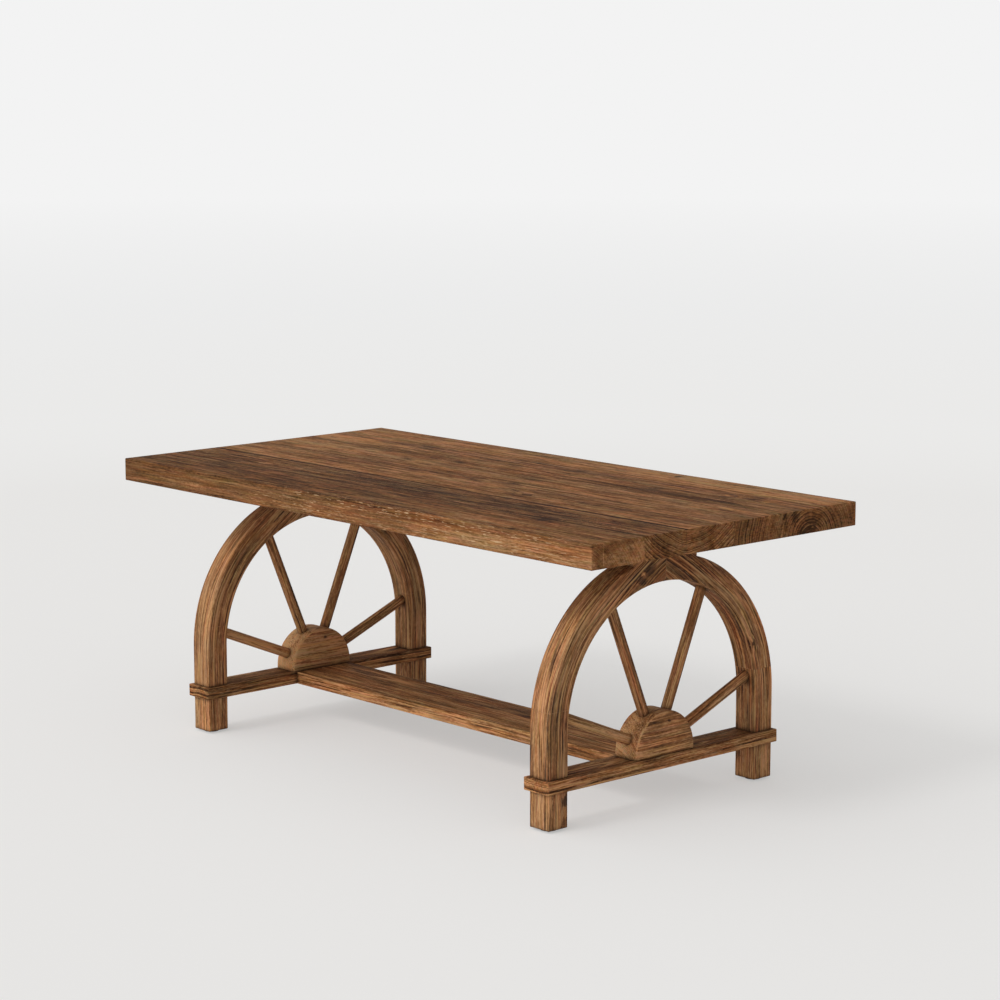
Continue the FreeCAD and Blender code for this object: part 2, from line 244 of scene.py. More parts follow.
    # Brushing leaves pale ridges beside the hard lines, where the wood is rubbed most.
    ridge = times(group, spread(group, phase, 0.0, 0.06), spread(group, phase, 0.14, 0.32, 1.0, 0.0))
    rubbed = spread(group, streaks(group, own, (0.14, 0.02), 3, 0.6), 0.42, 0.58)
    some_rings = spread(group, each_ring.outputs["Fac"], 0.38, 0.48)
    ridge = times(group, times(group, ridge, some_rings), 0.9)
    pale_lines = streaks(group, elsewhere(group, figured, (7.9, 1.4, 5.7)), (0.22, 0.0074), 2, 0.4)
    pale_lines = maths(group, "ABSOLUTE", maths(group, "SUBTRACT", pale_lines, 0.5))
    pale_lines = times(group, spread(group, pale_lines, 0.010, 0.065, 0.55, 0.0), long_grain)
    ridge = maths(group, "MAXIMUM", ridge, pale_lines)
    ridge = times(group, ridge, maths(group, "MAXIMUM", rubbed, 0.2))
    ridge = times(group, ridge, given.outputs["Ridges"])
    colour = blend(group, ridge, colour, given.outputs["Light Wood"])

    # The hue drifts between warm and cool, with redder bands and grey weathered ones.
    mottle = streaks(group, elsewhere(group, own, (5.3, 2.2, 6.1)), (0.16, 0.035), 2, 0.5)
    warm, cool = (1.06, 0.975, 0.93, 1.0), (0.965, 0.995, 0.975, 1.0)
    mottle = blend(group, spread(group, mottle, 0.38, 0.62), warm, cool)
    colour = blend(group, 1.0, colour, mottle, "MULTIPLY")
    tint = vector_maths(group, "MULTIPLY", wander(group, figured, (0.05, 0.0040), 1), (0.50, 0.16, 0.60))
    colour = blend(group, 1.0, colour, vector_maths(group, "ADD", tint, (1.0, 1.0, 1.0)), "MULTIPLY")
    red = spread(group, streaks(group, own, (0.22, 0.014), 2, 0.5), 0.45, 0.65)
    red = times(group, red, given.outputs["Redness"])
    colour = blend(group, red, colour, blend(group, 1.0, colour, (1.06, 0.84, 0.74, 1.0), "MULTIPLY"))
    grey = streaks(group, elsewhere(group, own, (3.1, 7.7, 1.9)), (0.5, 0.016), 3, 0.55)
    grey = spread(group, grey, 0.52, 0.68)
    grey = times(group, grey, given.outputs["Streaks"])
    colour = blend(group, grey, colour, blend(group, 1.0, colour, (0.53, 0.47, 0.39, 1.0), "MULTIPLY"))

    # Lime is left in short flecks, in patches, and never on end grain. Open pores and knots are dark.
    specks = spread(group, streaks(group, own, (0.016, 0.0014), 1, 0.5), 0.61, 0.70)
    patches = streaks(group, elsewhere(group, own, (8.8, 3.3, 0.4)), (0.2, 0.03))
    patches = spread(group, patches, 0.34, 0.54, 0.3, 1.0)
    limed = times(group, times(group, specks, patches), given.outputs["Flecks"])
    limed = times(group, limed, maths(group, "SUBTRACT", 1.0, end_grain))
    colour = blend(group, limed, colour, (0.48, 0.31, 0.17, 1.0))
    pores = streaks(group, elsewhere(group, figured, (1.7, 2.9, 8.3)), (0.02, 0.0015), 1)
    pores = spread(group, pores, 0.62, 0.74)
    colour = blend(group, times(group, pores, 0.4), colour, (0.035, 0.019, 0.011, 1.0))
    knot_share = times(group, given.outputs["Knots"], 0.85)
    colour = blend(group, knot_share, colour, (0.03, 0.014, 0.008, 1.0))
    group.links.new(colour, result.inputs["Color"])

    # Hard rings are smoother and stand proud, and pores and lime lie low.
    shine = maths(group, "MULTIPLY_ADD", medium, 0.22, 0.6)
    shine = maths(group, "MULTIPLY_ADD", late_wood, -0.08, shine)
    group.links.new(maths(group, "MULTIPLY_ADD", end_grain, 0.12, shine), result.inputs["Roughness"])
    height = times(group, times(group, late_wood, broken), 0.45)
    height = maths(group, "MULTIPLY_ADD", fine, 0.35, height)
    height = maths(group, "MULTIPLY_ADD", medium, 0.4, height)
    height = maths(group, "MULTIPLY_ADD", pores, -0.35, height)
    height = maths(group, "MULTIPLY_ADD", limed, -0.2, height)
    group.links.new(height, result.inputs["Height"])
    return group


def build_edge_wear_and_shade_group():
    """Masks for rubbed arrises and for painted shade in the creases where pieces meet, and the rounded
    normal.
    """
    group, given, result = new_group("Edge Wear And Crevice Shade", (
        ("Vector", "NodeSocketVector", None),
        ("Radius", "NodeSocketFloat", 0.002),
    ), (("Mask", "NodeSocketFloat"), ("Painted Crevice Shade", "NodeSocketFloat"), ("Normal", "NodeSocketVector")))
    rounded = add(group, "ShaderNodeBevel", {"Radius": given.outputs["Radius"]}, samples=6)
    geometry = add(group, "ShaderNodeNewGeometry")
    match = vector_maths(group, "DOT_PRODUCT", rounded.outputs[0], geometry.outputs["Normal"])
    edge = spread(group, match, 0.9, 0.995, 1.0, 0.0)
    rub = add(group, "ShaderNodeTexNoise", {"Vector": given.outputs["Vector"]}, Scale=55.0, Detail=4.0)
    edge = times(group, edge, spread(group, rub.outputs["Fac"], 0.4, 0.62))
    group.links.new(edge, result.inputs["Mask"])
    # Painted shade: what nearby surfaces hide makes creases and the joints between pieces dark.
    nearby = add(group, "ShaderNodeAmbientOcclusion", samples=8, Distance=0.013)
    group.links.new(spread(group, nearby.outputs["AO"], 0.42, 0.95, 1.0, 0.0), result.inputs["Painted Crevice Shade"])
    group.links.new(rounded.outputs[0], result.inputs["Normal"])
    return group


def build_knot_group():
    """A knot: its dark core, and how far it pushes the rings aside."""
    group, given, result = new_group("Knot", (
        ("Vector", "NodeSocketVector", None),
        ("Place", "NodeSocketVector", None),
        ("Stretch", "NodeSocketVector", (0.6, 1.0, 1.0)),
        ("Size", "NodeSocketFloat", 0.01),
        ("Mask", "NodeSocketFloat", 0.0),
        ("Swirl", "NodeSocketFloat", 0.0),
    ), (("Mask", "NodeSocketFloat"), ("Swirl", "NodeSocketFloat")))
    away = vector_maths(group, "SUBTRACT", given.outputs["Vector"], given.outputs["Place"])
    ragged = add(group, "ShaderNodeTexNoise", {"Vector": given.outputs["Vector"]}, Scale=180.0, Detail=2.0)
    away = vector_maths(group, "MULTIPLY", away, given.outputs["Stretch"])
    distance = maths(group, "DIVIDE", vector_maths(group, "LENGTH", away), given.outputs["Size"])
    uneven = spread(group, ragged.outputs["Fac"], 0.3, 0.7, -0.35, 0.35, False)
    distance = maths(group, "ADD", distance, uneven)
    core = spread(group, distance, 0.45, 1.1, 1.0, 0.0)
    halo = spread(group, distance, 0.8, 2.4, 0.25, 0.0)
    mask = maths(group, "MAXIMUM", maths(group, "MAXIMUM", core, halo), given.outputs["Mask"])
    group.links.new(mask, result.inputs["Mask"])
    push = times(group, spread(group, distance, 0.0, 5.0, 1.0, 0.0), given.outputs["Size"])
    group.links.new(maths(group, "ADD", push, given.outputs["Swirl"]), result.inputs["Swirl"])
    return group


def build_tone_patch_group():
    """A long soft patch that makes the wood darker or paler, ragged along the grain. It lays stained patches
    and a patch of lime, and on some pieces painted shade.
    """
    group, given, result = new_group("Tone Patch", (
        ("Vector", "NodeSocketVector", None),
        ("Place", "NodeSocketVector", None),
        ("Reach", "NodeSocketVector", (0.1, 0.02, 0.02)),
        ("Strength", "NodeSocketFloat", 0.3),
        ("Tone Patch", "NodeSocketFloat", 0.0),
    ), (("Tone Patch", "NodeSocketFloat"),))
    away = vector_maths(group, "SUBTRACT", given.outputs["Vector"], given.outputs["Place"])
    away = vector_maths(group, "DIVIDE", away, given.outputs["Reach"])
    ragged = add(group, "ShaderNodeTexNoise", {"Vector": away}, Scale=3.0, Detail=3.0)
    distance = maths(group, "MULTIPLY_ADD", ragged.outputs["Fac"], 1.2, vector_maths(group, "LENGTH", away))
    patch = spread(group, distance, 0.9, 1.7, 1.0, 0.0)
    total = maths(group, "MULTIPLY_ADD", patch, given.outputs["Strength"], given.outputs["Tone Patch"])
    group.links.new(total, result.inputs["Tone Patch"])
    return group


def build_glue_line_group():
    """The thin dark line where two boards meet, open in places, at one distance across the top."""
    group, given, result = new_group("Glue Line", (
        ("Vector", "NodeSocketVector", None),
        ("Place", "NodeSocketFloat", 0.0),
        ("Strength", "NodeSocketFloat", 0.5),
        ("Mask", "NodeSocketFloat", 0.0),
    ), (("Mask", "NodeSocketFloat"),))
    parts = add(group, "ShaderNodeSeparateXYZ", {"Vector": given.outputs["Vector"]}).outputs
    away = maths(group, "ABSOLUTE", maths(group, "SUBTRACT", parts["Y"], given.outputs["Place"]))
    opened = streaks(group, given.outputs["Vector"], (0.22, 0.02), 3)
    opened = spread(group, opened, 0.34, 0.52, 0.6, 1.0)
    line = times(group, spread(group, away, 0.0016, 0.0050, 1.0, 0.0), opened)
    normal = add(group, "ShaderNodeNewGeometry").outputs["True Normal"]
    upward = add(group, "ShaderNodeSeparateXYZ", {"Vector": normal}).outputs["Z"]
    line = times(group, line, spread(group, maths(group, "ABSOLUTE", upward), 0.4, 0.8, 0.06, 1.0))
    line = times(group, line, given.outputs["Strength"])
    group.links.new(maths(group, "MAXIMUM", line, given.outputs["Mask"]), result.inputs["Mask"])
    return group


def build_leg_line_group():
    """Turns a place into one along and across the grain of a leg, upright below and bent with the arch.

    Towards the crown the grain runs out of the curve, so that the two halves meet in a chevron.
    """
    springing_height = 0.155
    rim_radius = 0.235
    runout_start = 0.90
    runout_depth = 0.105
    group, given, result = new_group("Leg Line", (
        ("Vector", "NodeSocketVector", None),
        ("Side", "NodeSocketFloat", 1.0),
    ), (("Vector", "NodeSocketVector"),))
    parts = add(group, "ShaderNodeSeparateXYZ", {"Vector": given.outputs["Vector"]}).outputs
    outward = times(group, parts["Y"], given.outputs["Side"])
    above = maths(group, "SUBTRACT", parts["Z"], springing_height)
    risen = maths(group, "MAXIMUM", above, 0.0)
    squares = maths(group, "ADD", times(group, outward, outward), times(group, risen, risen))
    reach = maths(group, "SQRT", squares)
    angle = maths(group, "ARCTAN2", risen, outward)
    near_crown = maths(group, "MAXIMUM", maths(group, "SUBTRACT", angle, runout_start), 0.0)
    dive = times(group, times(group, near_crown, near_crown), runout_depth)
    along = maths(group, "MULTIPLY_ADD", angle, rim_radius, maths(group, "MINIMUM", above, 0.0))
    across = maths(group, "SUBTRACT", reach, dive)
    line = add(group, "ShaderNodeCombineXYZ", {"X": along, "Y": parts["X"], "Z": across})
    group.links.new(line.outputs[0], result.inputs["Vector"])
    return group


timber = build_timber_group()
glue_line = build_glue_line_group()
tone_patch_group = build_tone_patch_group()
edge_wear_and_shade = build_edge_wear_and_shade_group()
knot = build_knot_group()
leg_line = build_leg_line_group()


def wood(name, heart, grain, tones, knots=(), tone_patches=(), seams=(), leg_side=None, shine=0.1, rub=0.5,
         worn=0.0018, turned=None, limed=None, **values):
    """A wood material. Heart is a point on the tree's heart line, and grain its direction as a unit vector.

    On a leg the grain follows the arch, and heart is given along, through and across it.
    Tones are the light, brown and dark wood. Knots are (place, size, stretch), tone patches (place, reach,
    strength), which are stained patches and on some pieces painted shade, and seams (distance across the top,
    strength). Turned (direction, from, strength) makes the faces that look one way paler, as painted light,
    with a strength below nought, and darker, as painted shade, with one above. Limed (place, reach, strength)
    is a patch with more lime in it. Worn is the radius of a rubbed arris, rub how pale it is, and shine the
    gleam. Other values are the timber's inputs.
    """
    material = bpy.data.materials.new(name)
    material.use_nodes = True
    tree = material.node_tree
    tree.nodes.clear()
    place = add(tree, "ShaderNodeTexCoord").outputs["Object"]
    if leg_side:
        followed = add(tree, "ShaderNodeGroup", {"Vector": place}, node_tree=leg_line)
        followed.inputs["Side"].default_value = leg_side
        aligned = vector_maths(tree, "SUBTRACT", followed.outputs["Vector"], heart)
    else:
        rise = math.asin(grain[2])
        turn = math.atan2(grain[1], grain[0])
        aligned = add(tree, "ShaderNodeMapping", {"Vector": place}, vector_type="TEXTURE",
                      Location=heart, Rotation=(0.0, -rise, turn)).outputs[0]
    grown = add(tree, "ShaderNodeGroup", node_tree=timber)
    tree.links.new(aligned, grown.inputs["Vector"])
    grown.inputs["Grain Axis"].default_value = grain
    for socket, colour in zip(("Light Wood", "Brown Wood", "Dark Wood"), tones):
        grown.inputs[socket].default_value = (*colour, 1.0)
    for socket, value in values.items():
        grown.inputs[socket.replace("_", " ").title()].default_value = value

    def lay(kind, spots, sockets, carried):
        """Lays one group after another, each on top of the one before, and returns the last."""
        last = None
        for spot in spots:
            made = add(tree, "ShaderNodeGroup", {"Vector": place}, node_tree=kind)
            for socket, value in zip(sockets, spot):
                made.inputs[socket].default_value = value
            for socket in carried if last else ():
                tree.links.new(last.outputs[socket], made.inputs[socket])
            last = made
        return last

    patch = ("Place", "Reach", "Strength")
    if limed:
        paler = lay(tone_patch_group, (limed,), patch, ())
        paler.inputs["Tone Patch"].default_value = values["flecks"]
        tree.links.new(paler.outputs["Tone Patch"], grown.inputs["Flecks"])
    # Tone patches are laid one on another; on some pieces they are painted shade.
    last = lay(tone_patch_group, tone_patches, patch, ("Tone Patch",))
    total = last.outputs["Tone Patch"] if last else None
    # Painted light and shade: faces that look one way are made paler or darker.
    if turned:
        direction, low, strength = turned
        normal = add(tree, "ShaderNodeNewGeometry").outputs["Normal"]
        match = vector_maths(tree, "DOT_PRODUCT", normal, direction)
        side = spread(tree, match, low, 0.98, 0.0, strength)
        total = maths(tree, "ADD", total, side) if last else side
    if total:
        tree.links.new(total, grown.inputs["Tone Patch"])
    last = lay(knot, knots, ("Place", "Size", "Stretch"), ("Mask", "Swirl"))
    if last:
        tree.links.new(last.outputs["Mask"], grown.inputs["Knots"])
        tree.links.new(last.outputs["Swirl"], grown.inputs["Swirl"])
    edge = add(tree, "ShaderNodeGroup", node_tree=edge_wear_and_shade)
    tree.links.new(place, edge.inputs["Vector"])
    edge.inputs["Radius"].default_value = worn
    rubbed = times(tree, edge.outputs["Mask"], rub)
    colour = blend(tree, rubbed, grown.outputs["Color"], (*tones[0], 1.0))
    # Painted shade, nearly black, in creases and where pieces meet.
    crevice_shade = times(tree, edge.outputs["Painted Crevice Shade"], 0.75)
    colour = blend(tree, crevice_shade, colour, (0.012, 0.006, 0.003, 1.0))
    last = lay(glue_line, seams, ("Place", "Strength"), ("Mask",))
    if last:
        colour = blend(tree, last.outputs["Mask"], colour, (0.014, 0.006, 0.004, 1.0))
    bump = add(tree, "ShaderNodeBump", {"Height": grown.outputs["Height"], "Normal": edge.outputs["Normal"]},
               Strength=0.55, Distance=0.0009)
    shader = add(tree, "ShaderNodeBsdfPrincipled", {
        "Base Color": colour, "Roughness": grown.outputs["Roughness"], "Normal": bump.outputs[0]})
    shader.inputs["Specular IOR Level"].default_value = shine
    add(tree, "ShaderNodeOutputMaterial", {"Surface": shader.outputs[0]})
    return material


def paint(node_name, material):
    """Gives a carried-over node its finish."""
    for slot in nodes[node_name].material_slots:
        slot.material = material


# Lists run from the front board to the back one.
top_tones = ((0.375, 0.196, 0.089), (0.18, 0.082, 0.0340), (0.040, 0.0185, 0.0095))
along_x = (1.0, 0.0, 0.0)
board_hearts = ((0.0, -0.34, 0.39), (0.0, -0.085, 0.57), (0.0, -0.085, 0.57),
                (0.0, 0.19, 0.428), (0.0, 0.19, 0.428), (0.0, 0.19, 0.428))
board_seeds = (1.0, 2.0, 2.0, 4.0, 4.0, 4.0)
board_rings = (0.22, 0.65, 0.7, 0.55, 0.4, 0.4)
board_grain = (0.8, 0.95, 1.0, 1.05, 1.05, 1.0)
board_flecks = (0.12, 0.3, 0.2, 0.2, 0.2, 0.3)
limed_front = ((0.24, -0.30, 0.462), (0.60, 0.03, 0.10), 0.88)
board_stretch = (1.0, 0.36, 1.0)
board_redness = (0.38, 0.45, 0.3, 0.3, 0.3, 0.25)
board_darkness = (0.25, 0.16, 0.03, -0.02, -0.03, -0.11)
board_stains = (
    (((0.48, -0.30, 0.452), (0.40, 0.012, 0.03), -0.42), ((-0.42, -0.30, 0.452), (0.5, 0.010, 0.03), -0.20),
     ((0.05, -0.30, 0.452), (0.35, 0.010, 0.03), -0.22), ((0.60, -0.21, 0.455), (0.025, 0.10, 0.03), -0.45),
     ((0.60, -0.275, 0.462), (0.01, 0.0014, 0.03), -0.35), ((0.34, -0.25, 0.482), (0.34, 0.05, 0.02), -0.28),
     ((-0.42, -0.25, 0.482), (0.34, 0.06, 0.02), 0.22), ((0.0, -0.25, 0.482), (0.4, 0.06, 0.02), 0.14)),
    (((0.10, -0.145, 0.482), (0.42, 0.045, 0.03), 0.40), ((0.60, -0.182, 0.455), (0.02, 0.022, 0.03), -0.35),
     ((0.60, -0.105, 0.46), (0.02, 0.04, 0.04), -0.1), ((-0.48, -0.15, 0.482), (0.13, 0.03, 0.03), 0.2),
     ((-0.47, -0.0985, 0.482), (0.17, 0.0045, 0.01), 0.9),
     ((0.20, -0.0985, 0.482), (0.14, 0.0045, 0.01), 0.8),
     ((-0.385, -0.15, 0.482), (0.03, 0.012, 0.02), -0.7)),
    (((0.30, -0.06, 0.482), (0.25, 0.02, 0.02), -0.2), ((-0.42, -0.05, 0.482), (0.14, 0.012, 0.02), 0.3),
     ((-0.50, -0.03, 0.482), (0.16, 0.06, 0.02), -0.25)),
    (((0.42, -0.005, 0.482), (0.14, 0.012, 0.02), 0.4), ((0.38, 0.108, 0.482), (0.2, 0.01, 0.02), 0.3),
     ((0.60, 0.07, 0.46), (0.02, 0.08, 0.04), 0.15), ((-0.50, 0.06, 0.482), (0.16, 0.06, 0.02), -0.25)),
    (((0.37, 0.130, 0.482), (0.24, 0.018, 0.02), 0.7), ((-0.52, 0.15, 0.482), (0.12, 0.03, 0.02), -0.4),
     ((0.60, 0.19, 0.450), (0.02, 0.045, 0.03), 0.4), ((0.60, 0.152, 0.473), (0.02, 0.012, 0.014), 0.55),
     ((0.60, 0.128, 0.475), (0.02, 0.007, 0.013), 0.45), ((0.60, 0.178, 0.447), (0.02, 0.022, 0.009), 0.7)),
    (((0.40, 0.26, 0.482), (0.5, 0.05, 0.02), -0.3), ((0.60, 0.26, 0.46), (0.02, 0.07, 0.04), 0.35)),
)
board_edges = (-0.1878, -0.0966, 0.0102, 0.1164, 0.2142)
board_seams = tuple(zip(board_edges, (0.65, 1.0, 0.45, 0.4, 0.4)))
board_knots = (
    (((0.385, -0.196, 0.48), 0.014, (0.8, 0.7, 0.3)), ((0.415, -0.290, 0.48), 0.006, (0.8, 0.8, 0.3))),
    (((0.385, -0.184, 0.48), 0.016, (0.40, 1.0, 0.3)),),
    (((0.19, -0.05, 0.48), 0.010, (0.55, 1.0, 0.3)),),
    (((-0.25, 0.07, 0.48), 0.007, (0.6, 1.0, 0.3)),),
    (((0.475, 0.190, 0.48), 0.009, (0.6, 0.8, 0.3)),),
    (((0.22, 0.275, 0.48), 0.007, (1.0, 0.6, 0.3)),),
)
board_arris = 0.0018
seam_arrises = (0.0012, 0.0026, 0.0008, 0.0008, 0.0008)
board_wear = 0.0004
board_cuts = 40
long_edge = 0.5
touching = 1e-5
smooth_angle = math.radians(35)
worn_surface = bpy.data.textures.new("worn_surface", "CLOUDS")
worn_surface.noise_scale = 0.05
worn_surface.noise_depth = 2


def select_edges(piece, wanted):
    """Selects the edges for whose two ends, as points, wanted says yes, and returns to edit mode."""
    bpy.ops.mesh.select_mode(type="EDGE")
    bpy.ops.mesh.select_all(action="DESELECT")
    bpy.ops.object.mode_set(mode="OBJECT")
    for edge in piece.data.edges:
        first, second = (piece.data.vertices[index].co for index in edge.vertices)
        edge.select = wanted(first, second)
    bpy.ops.object.mode_set(mode="EDIT")


def start_block(name, low, high):
    """A new block between two corners, left in edit mode."""
    bpy.ops.object.select_all(action="DESELECT")
    bpy.ops.mesh.primitive_cube_add(size=1.0, location=(low + high) / 2, scale=high - low)
    piece = bpy.context.object
    piece.name = name
    bpy.ops.object.transform_apply(location=True, rotation=True, scale=True)
    bpy.ops.object.mode_set(mode="EDIT")
    return piece


def cut_across(low, high, axis, parts):
    """Cuts the mesh in edit mode into equal parts along an axis, so that its skin can wear unevenly."""
    along = Vector((0.0, 0.0, 0.0))
    along[axis] = 1.0
    for step in range(1, parts):
        bpy.ops.mesh.select_all(action="SELECT")
        bpy.ops.mesh.bisect(plane_co=low + along * (high[axis] - low[axis]) * step / parts, plane_no=along)


def wear(piece, depth):
    """Takes a shallow uneven skin off a piece, as long use does."""
    bpy.ops.object.mode_set(mode="OBJECT")
    bpy.ops.object.modifier_add(type="DISPLACE")
    skin = piece.modifiers[-1]
    skin.texture = worn_surface
    skin.strength = depth
    skin.mid_level = 1.0
    bpy.ops.object.modifier_apply(modifier=skin.name)
    bpy.ops.object.shade_smooth_by_angle(angle=smooth_angle)


for number, heart in enumerate(board_hearts):
    low, high = (Vector(corner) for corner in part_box("top_board_" + str(number + 1)))
    board = start_block("plank_" + str(number + 1), low, high)
    seams_here = [(low.y, seam_arrises[number - 1])] if number > 0 else []
    seams_here += [(high.y, seam_arrises[number])] if number < len(seam_arrises) else []
    seam_places = [place for place, arris in seams_here]

    def at_seam(point):
        return any(abs(point.y - place) < touching for place in seam_places)

    select_edges(board, lambda first, second: not (at_seam(first) and at_seam(second)
                                                   and abs(first.y - second.y) < touching))
    bpy.ops.mesh.bevel(offset=board_arris, segments=3, affect="EDGES")
    for place, arris in seams_here:
        select_edges(board, lambda first, second: max(abs(first.y - place), abs(second.y - place)) < touching
                     and abs(first.x - second.x) > long_edge)
        bpy.ops.mesh.bevel(offset=arris, segments=2, affect="EDGES")
    cut_across(low, high, 0, board_cuts)
    wear(board, board_wear)
    material = wood("board_wood_" + str(number + 1), heart, along_x, top_tones, board_knots[number],
                    board_stains[number], board_seams, shine=0.02, rub=0.35,
                    limed=limed_front if number == 0 else None, seed=board_seeds[number], ring_width=0.0050,
                    ring_contrast=board_rings[number], grain_contrast=board_grain[number], waviness=0.03,
                    darkness=board_darkness[number], streaks=0.7, redness=board_redness[number],
                    flecks=board_flecks[number], ridges=0.5, stretch=board_stretch)
    board.data.materials.append(material)
    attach(board, "root")
    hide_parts("top_board_" + str(number + 1))

# Felloes and posts
# The curved rim of each half wheel is sawn from thick naturally bowed plank, so its grain bends a little
# with it and meets in a chevron at the crown. Below it the grain of the posts runs upright.
right_end, left_end = 0.44, -0.44
ends = (("right", right_end), ("left", left_end))
sides = (("front", -1), ("back", 1))
frame_tones = ((0.51, 0.281, 0.130), (0.23, 0.1015, 0.0395), (0.045, 0.020, 0.010))
bent_grain = (0.0, 0.0, 0.0)
leg_redness = {"right_front": 0.45, "right_back": 0.95, "left_front": 0.4, "left_back": 0.5}
leg_darkness = {"right_front": 0.06, "right_back": 0.20, "left_front": 0.09, "left_back": 0.09}
leg_contrast = {"right": 1.15, "left": 0.9}
near_face = 0.4623
# On the front felloe the first two patches, and on the back felloe its one patch, darken the crown just under
# the top: painted shade. The rest are stained patches, one of them pale.
leg_stains_and_shade = {
    "right_front": (
        ((near_face, -0.115, 0.403), (0.02, 0.040, 0.014), 0.7),
        ((near_face, -0.07, 0.385), (0.02, 0.10, 0.05), 0.2),
        ((near_face, -0.064, 0.382), (0.02, 0.016, 0.009), 0.8),
        ((near_face, -0.037, 0.394), (0.02, 0.016, 0.013), 0.8),
        ((near_face, -0.052, 0.374), (0.02, 0.012, 0.007), 0.7),
        ((near_face, -0.051, 0.386), (0.02, 0.007, 0.005), -0.75),
        ((near_face, -0.235, 0.13), (0.02, 0.05, 0.12), 0.25),
        ((near_face, -0.218, 0.10), (0.02, 0.008, 0.02), 0.6)),
    "right_back": (((near_face, 0.06, 0.39), (0.02, 0.10, 0.05), 0.28),),
}
leg_knots = {
    "right_front": (((0.446, -0.2565, 0.267), 0.0045, (1.0, 1.0, 1.0)),
                    ((near_face, -0.188, 0.354), 0.005, (1.0, 1.0, 1.0))),
    "right_back": (((near_face, 0.208, 0.237), 0.0045, (1.0, 1.0, 1.0)),),
}
# Painted light: faces that look up and to the front, where the key light comes from, are made paler.
painted_key_light = ((0.0, -0.77, 0.64), 0.7, -0.14)
seed = 20.0
for end, end_x in ends:
    for side, sign in sides:
        seed += 1.0
        leg = end + "_" + side
        look = dict(leg_side=sign, ring_width=0.0055, ring_contrast=0.6, grain_contrast=leg_contrast[end],
                    darkness=leg_darkness[leg], streaks=0.2, redness=leg_redness[leg], flecks=0.35,
                    ridges=1.0)
        material = wood("felloe_wood_" + leg, (0.0, end_x - 0.08, 0.34), bent_grain, frame_tones,
                        leg_knots.get(leg, ()), leg_stains_and_shade.get(leg, ()), turned=painted_key_light, seed=seed, **look)
        paint("felloe_" + leg, material)
        # Three posts carry on the grain of their felloe. This one is from another plank.
        if leg == "right_back":
            material = wood("post_wood_" + leg, (0.0, end_x - 0.07, 0.15), bent_grain, frame_tones,
                            seed=seed + 0.5, **look)
        paint("post_" + leg, material)

# Foot blocks
# Short square blocks of the same stock under the rails, in line with the posts, with upright grain.
foot_stains = {
    "right_front": (((near_face, -0.222, 0.050), (0.02, 0.009, 0.013), 1.0),
                    ((near_face, -0.218, 0.012), (0.02, 0.01, 0.01), 0.5)),
    "right_back": (((0.422, 0.2145, 0.045), (0.01, 0.01, 0.014), 0.8),),
}
foot_knots = {"right_front": (((near_face, -0.221, 0.047), 0.008, (1.0, 1.0, 0.7)),)}
foot_darkness = {"right_front": -0.03, "right_back": -0.26, "left_front": -0.03, "left_back": 0.0}
foot_arris = 0.0022
foot_wear = 0.0007
foot_cuts = 6
upright = (0.0, 0.0, 1.0)
for end, end_x in ends:
    for side, sign in sides:
        seed += 1.0
        leg = end + "_" + side
        low, high = (Vector(corner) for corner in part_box("foot_" + leg))
        foot = start_block("worn_foot_" + leg, low, high)
        select_edges(foot, lambda first, second: min(first.z, second.z) < low.z + touching)
        bpy.ops.mesh.bevel(offset=foot_arris, segments=3, affect="EDGES")
        bpy.ops.mesh.select_all(action="SELECT")
        bpy.ops.mesh.subdivide(number_cuts=1)
        cut_across(low, high, 2, foot_cuts)
        wear(foot, foot_wear)
        material = wood("foot_wood_" + leg, (end_x - 0.07, sign * 0.17, 0.0), upright, frame_tones,
                        foot_knots.get(leg, ()), foot_stains.get(leg, ()), seed=seed, ring_width=0.0055,
                        ring_contrast=0.6, grain_contrast=1.3, darkness=foot_darkness[leg], streaks=0.3,
                        redness=0.3, flecks=0.5, ridges=1.0)
        foot.data.materials.append(material)
        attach(foot, "root")
        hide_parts("foot_" + leg)

# Cross rails
# Flat bars with eased, lightly worn arrises and the grain along them. The posts are tenoned through them.
along_y = (0.0, 1.0, 0.0)
rail_arris = 0.0015
rail_wear = 0.0006
rail_cuts = 20
rail_top = 0.085
rail_darkness = {"right": -0.14, "left": 0.15}
# The first patch on each rail darkens its top, under the table top: painted shade. The second on the left
# rail is a stained patch.
rail_shade_and_stains = {
    "right": (((right_end, 0.0, rail_top), (0.06, 0.5, 0.004), 0.5),),
    "left": (((left_end, 0.0, rail_top), (0.06, 0.5, 0.004), 0.15),
             ((-0.4177, 0.2, 0.074), (0.01, 0.14, 0.02), 0.3)),
}
for end, end_x in ends:
    seed += 1.0
    low, high = (Vector(corner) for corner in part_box("rail_" + end))
    rail = start_block("worn_rail_" + end, low, high)
    bpy.ops.mesh.select_all(action="SELECT")
    bpy.ops.mesh.bevel(offset=rail_arris, segments=3, affect="EDGES")
    cut_across(low, high, 1, rail_cuts)
    wear(rail, rail_wear)
    material = wood("rail_wood_" + end, (end_x, 0.0, 0.30), along_y, frame_tones, tone_patches=rail_shade_and_stains[end],
                    shine=0.02, seed=seed, ring_width=0.0055, ring_contrast=0.8, grain_contrast=1.2,
                    waviness=0.035, darkness=rail_darkness[end], streaks=0.4, redness=0.45, flecks=0.4,
                    ridges=1.1)
    rail.data.materials.append(material)
    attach(rail, "root")
    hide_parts("rail_" + end)

# Hubs
# Half discs cut from a thick plank and tenoned into the rails, with level grain, a small knot and an arris
# rounded over by hand. One is shaped and the other copied from it.
hub_radius = 0.067
hub_depth = 0.050
hub_centre_height = 0.090
hub_skirt = 0.005
hub_arris = 0.0042
hub_facets = 128
hub_darkness = {"right": -0.14, "left": -0.36}
